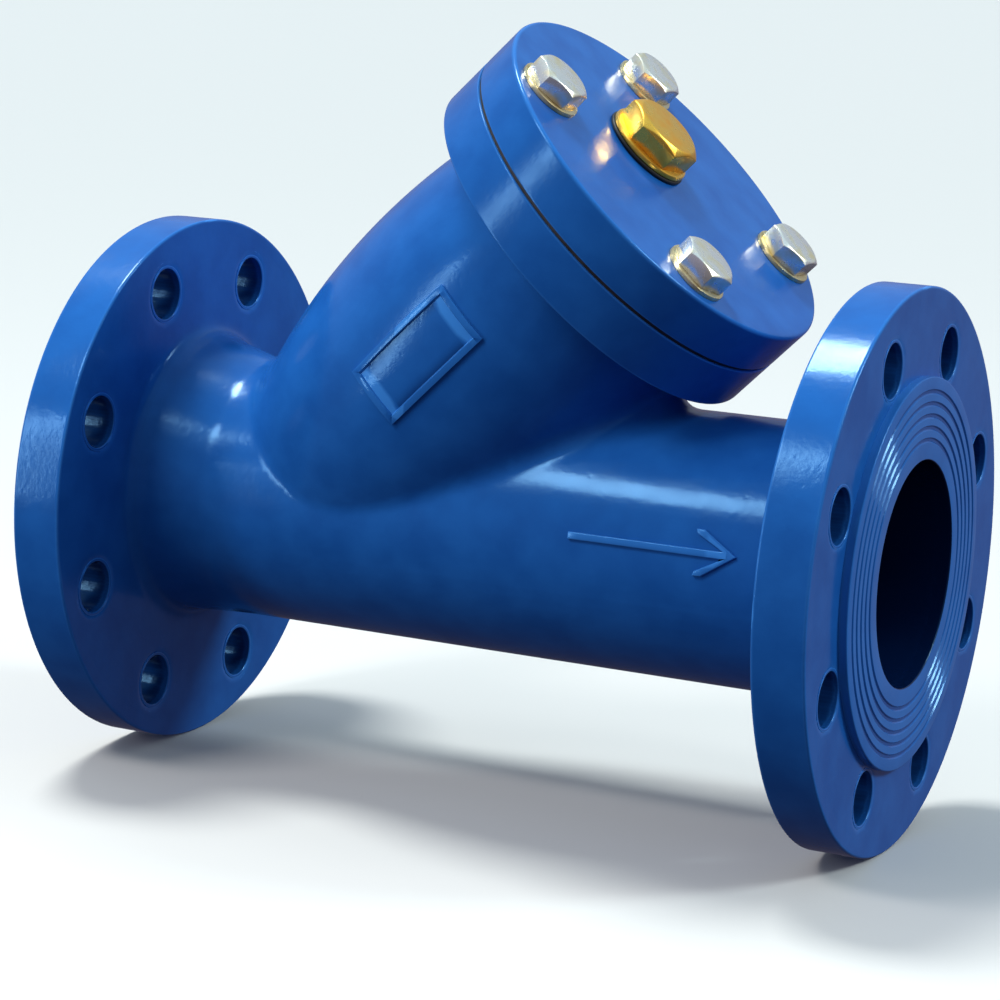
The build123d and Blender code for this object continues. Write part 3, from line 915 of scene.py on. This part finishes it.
# gapShade is painted shade in the gaps between the woven wires
screenValues = {"outer": 36 * mm, "sheet": 1.5 * mm, "low": 7 * mm, "high": 161.8 * mm, "margin": 4.5 * mm,
                "columns": 44, "rows": 33, "hole": 1.6 * mm, "liner": 34 * mm, "wires": 900.0,
                "gapShade": (0.02, 0.02, 0.022)}


def repeatAll(bm, count, step):  # copies of all that is there, moved by step(number)
    pattern = bm.verts[:] + bm.edges[:] + bm.faces[:]
    for number in range(1, count):
        copy = bmesh.ops.duplicate(bm, geom=pattern)["geom"]
        bmesh.ops.translate(bm, vec=step(number), verts=onlyVerts(copy))


def makeScreen():  # one cell with its hole, repeated on the flat, rolled up and given its thickness
    v = screenValues
    wide = 2 * math.pi * v["outer"] / v["columns"]
    first, last = v["low"] + v["margin"], v["high"] - v["margin"]
    tall = (last - first) / v["rows"]
    bm = bmesh.new()
    cell = bmesh.ops.create_circle(bm, segments=8, radius=1)["verts"]
    for vert in cell:  # a ring of eight goes out to a square
        vert.co /= max(abs(vert.co.x), abs(vert.co.y))
    bmesh.ops.scale(bm, vec=(wide / 2, tall / 2, 1), verts=cell)
    bmesh.ops.create_circle(bm, segments=8, radius=v["hole"])
    bmesh.ops.bridge_loops(bm, edges=bm.edges[:])
    bmesh.ops.translate(bm, vec=(wide / 2, first + tall / 2, 0), verts=bm.verts)
    repeatAll(bm, v["columns"], lambda column: (column * wide, 0, 0))
    repeatAll(bm, v["rows"], lambda row: (row % 2 * wide / 2, row * tall, 0))
    for low, high in ((v["low"], first), (last, v["high"])):  # the plain ends
        band = bmesh.ops.create_grid(bm, x_segments=2 * v["columns"], y_segments=1, size=0.5)["verts"]
        bmesh.ops.scale(bm, vec=(v["columns"] * wide, high - low, 1), verts=band)
        bmesh.ops.translate(bm, vec=(v["columns"] * wide / 2, (low + high) / 2, 0), verts=band)
    for vert in bm.verts:
        angle = vert.co.x / v["outer"]
        vert.co = (v["outer"] * math.cos(angle), v["outer"] * math.sin(angle), vert.co.y)
    bmesh.ops.remove_doubles(bm, verts=bm.verts, dist=0.02 * mm)
    inward = bmesh.ops.extrude_face_region(bm, geom=bm.faces[:])["geom"]
    narrower = 1 - v["sheet"] / v["outer"]
    bmesh.ops.scale(bm, vec=(narrower, narrower, 1), verts=onlyVerts(inward))
    bmesh.ops.recalc_face_normals(bm, faces=bm.faces)
    return shadeRound(asObject(bm, "perforatedScreen", stainlessSheet, branchPlace), 30)


place(makeScreen(), "screen", "stainless", "screen_tube")


def buildWeave():  # plain weave of wires along and round the branch
    group, start, end = newGroup("wireWeave", [("Wires", "NodeSocketFloat", 900.0)],
                                 [("Height", "NodeSocketFloat"), ("Gap", "NodeSocketFloat")])
    where = addNode(group, "ShaderNodeTexCoord")
    shifted = addNode(group, "ShaderNodeVectorMath", {1: branch["foot"]}, operation="SUBTRACT")
    join(group, where, shifted, "Object", 0)
    levels = []
    for axis in ((sine, 0, -cosine), (0, 1, 0), (cosine, 0, sine)):
        along = addNode(group, "ShaderNodeVectorMath", {1: axis}, operation="DOT_PRODUCT")
        join(group, shifted, along)
        levels.append(along)
    angle = addNode(group, "ShaderNodeMath", operation="ARCTAN2")
    join(group, levels[1], angle, "Value", 0)
    join(group, levels[0], angle, "Value", 1)
    around = addNode(group, "ShaderNodeMath", {1: screenValues["liner"]}, operation="MULTIPLY")
    join(group, angle, around)
    waves = []
    for source in (around, levels[2]):
        count = addNode(group, "ShaderNodeMath", operation="MULTIPLY")
        join(group, source, count, "Value", 0)
        join(group, start, count, "Wires", 1)
        wave = addNode(group, "ShaderNodeMath", {1: 0.5}, operation="PINGPONG")  # half a wire's pitch
        join(group, count, wave)
        waves.append(wave)
    top = addNode(group, "ShaderNodeMath", operation="MAXIMUM")
    join(group, waves[0], top, 0, 0)
    join(group, waves[1], top, 0, 1)
    gap = addNode(group, "ShaderNodeMapRange", {
        "From Min": 0.24, "From Max": 0.32, "To Min": 1.0, "To Max": 0.0})
    join(group, top, gap, 0, "Value")
    join(group, top, end, 0, "Height")
    join(group, gap, end, 0, "Gap")
    return group


def makeWovenWire():
    v = screenValues
    material, tree, shader = newMaterial("wovenWire", metallic=1.0)
    weave = useGroup(tree, buildWeave(), Wires=v["wires"])
    # painted shade: the near-black gap tone between the wires
    base = mixColours(tree, weave.outputs["Gap"], metalValues["stainlessSheet"]["light"], v["gapShade"])
    tree.links.new(base, shader.inputs["Base Color"])
    rough = spread(tree, weave.outputs["Gap"], toLow=0.3, toHigh=0.7)
    tree.links.new(rough, shader.inputs["Roughness"])
    bumpInto(tree, shader, weave.outputs["Height"], 0.8, 0.4 * mm)
    return material


# CAD nodes whose shape is right keep it and get a finish

def dress(node, material):
    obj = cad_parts[node]
    if len(obj.material_slots) == 0:
        obj.data.materials.append(material)
    for entry in obj.material_slots:
        entry.material = material


dress("cover_gasket", gasketSheet)
dress("screen_mesh", makeWovenWire())
dress("screen_seat_ring", turnedSteel)
dress("screen_top_ring", turnedSteel)
print("screen and gasket dressed")
